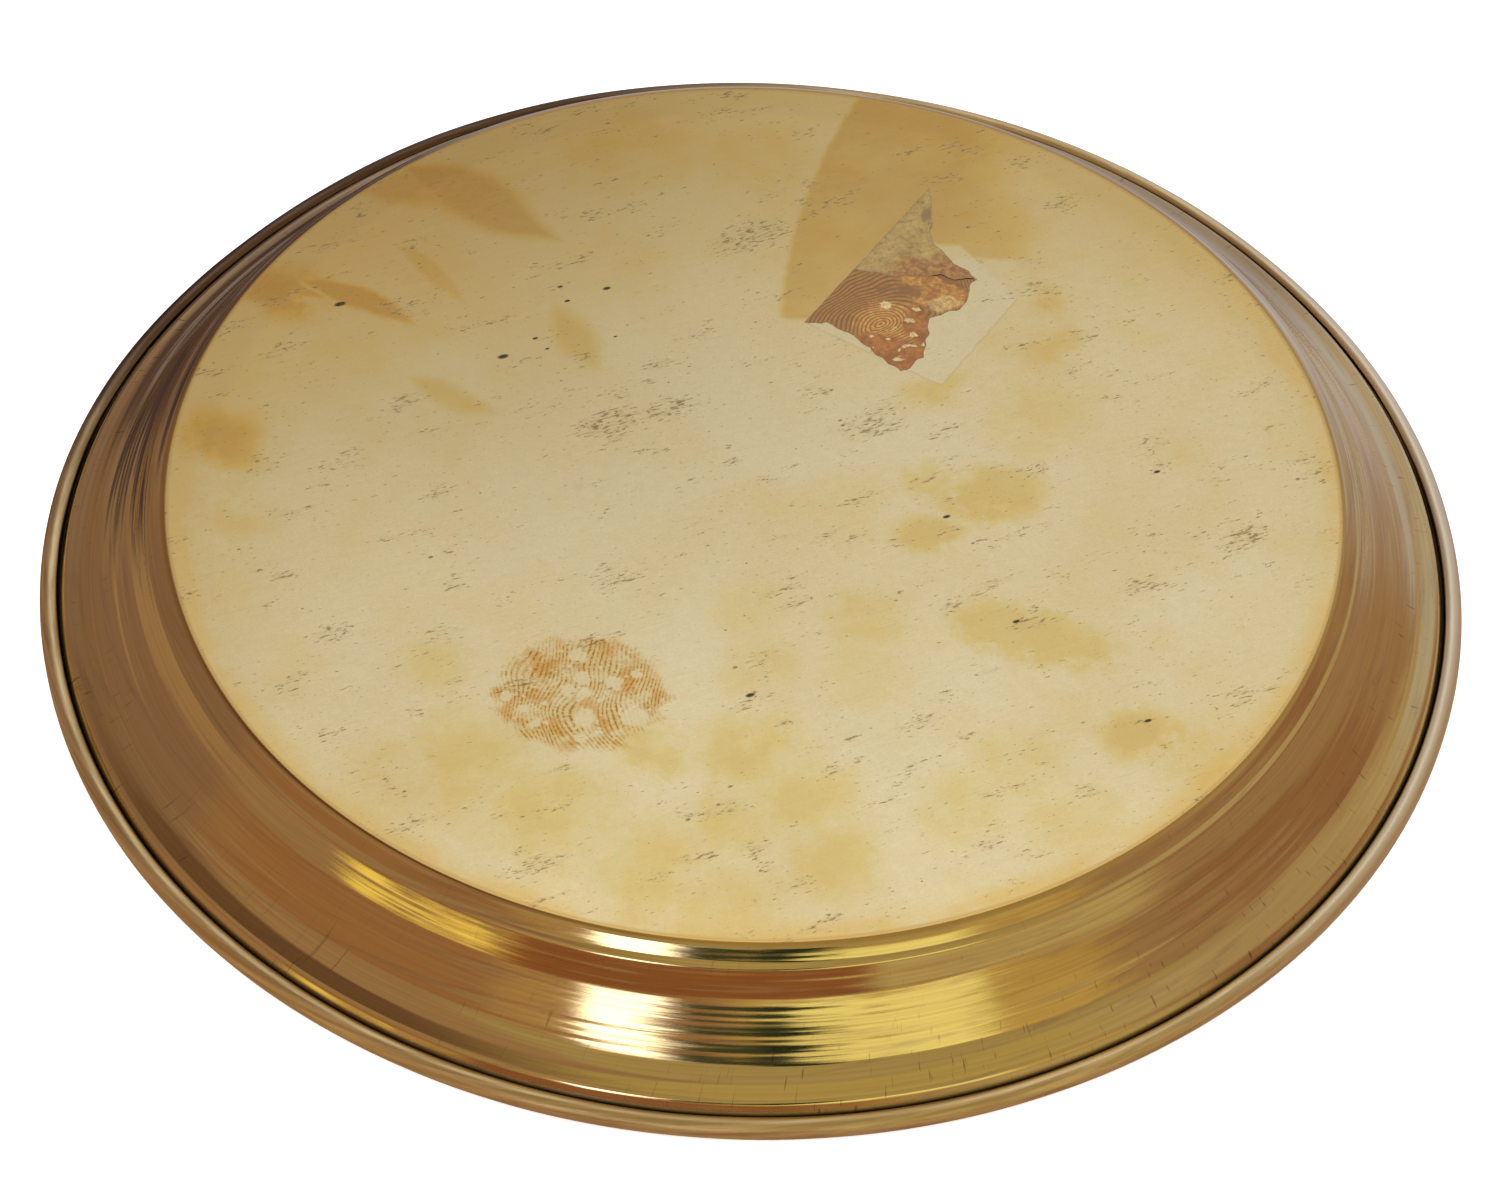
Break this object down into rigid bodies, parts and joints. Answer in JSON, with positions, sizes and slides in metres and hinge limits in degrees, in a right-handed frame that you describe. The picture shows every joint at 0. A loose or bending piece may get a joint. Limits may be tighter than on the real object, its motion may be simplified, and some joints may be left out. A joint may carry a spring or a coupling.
{
  "type": "shallow brass paten dish",
  "caption": "Shallow round spun brass dish: flat base, stepped flared wall, level flange and wired rolled rim. It lies upside down on its rim, with a torn sticker remnant on the base.",
  "frame": {"origin": "centre of the level plane that the rolled rim rests on, the dish lying upside down", "axes": "+Z is the dish's axis and points up, out of the underside of the base; +X to the right and +Y away from a viewer who has the torn label beyond the centre and to the right"},
  "size_m": [0.16, 0.16, 0.0134],
  "materials": {
    "brass_sheet": "rolled and spun, dulled with amber tarnish",
    "rim_wire": "drawn wire, dull",
    "label_film": "yellowed clear film, torn",
    "label_glue": "old brown adhesive"
  },
  "bodies": {
    "root": {"dish_body": "brass_sheet", "rim_wire": "rim_wire", "label_film": "label_film", "label_glue": "label_glue"}
  },
  "joints": []
}
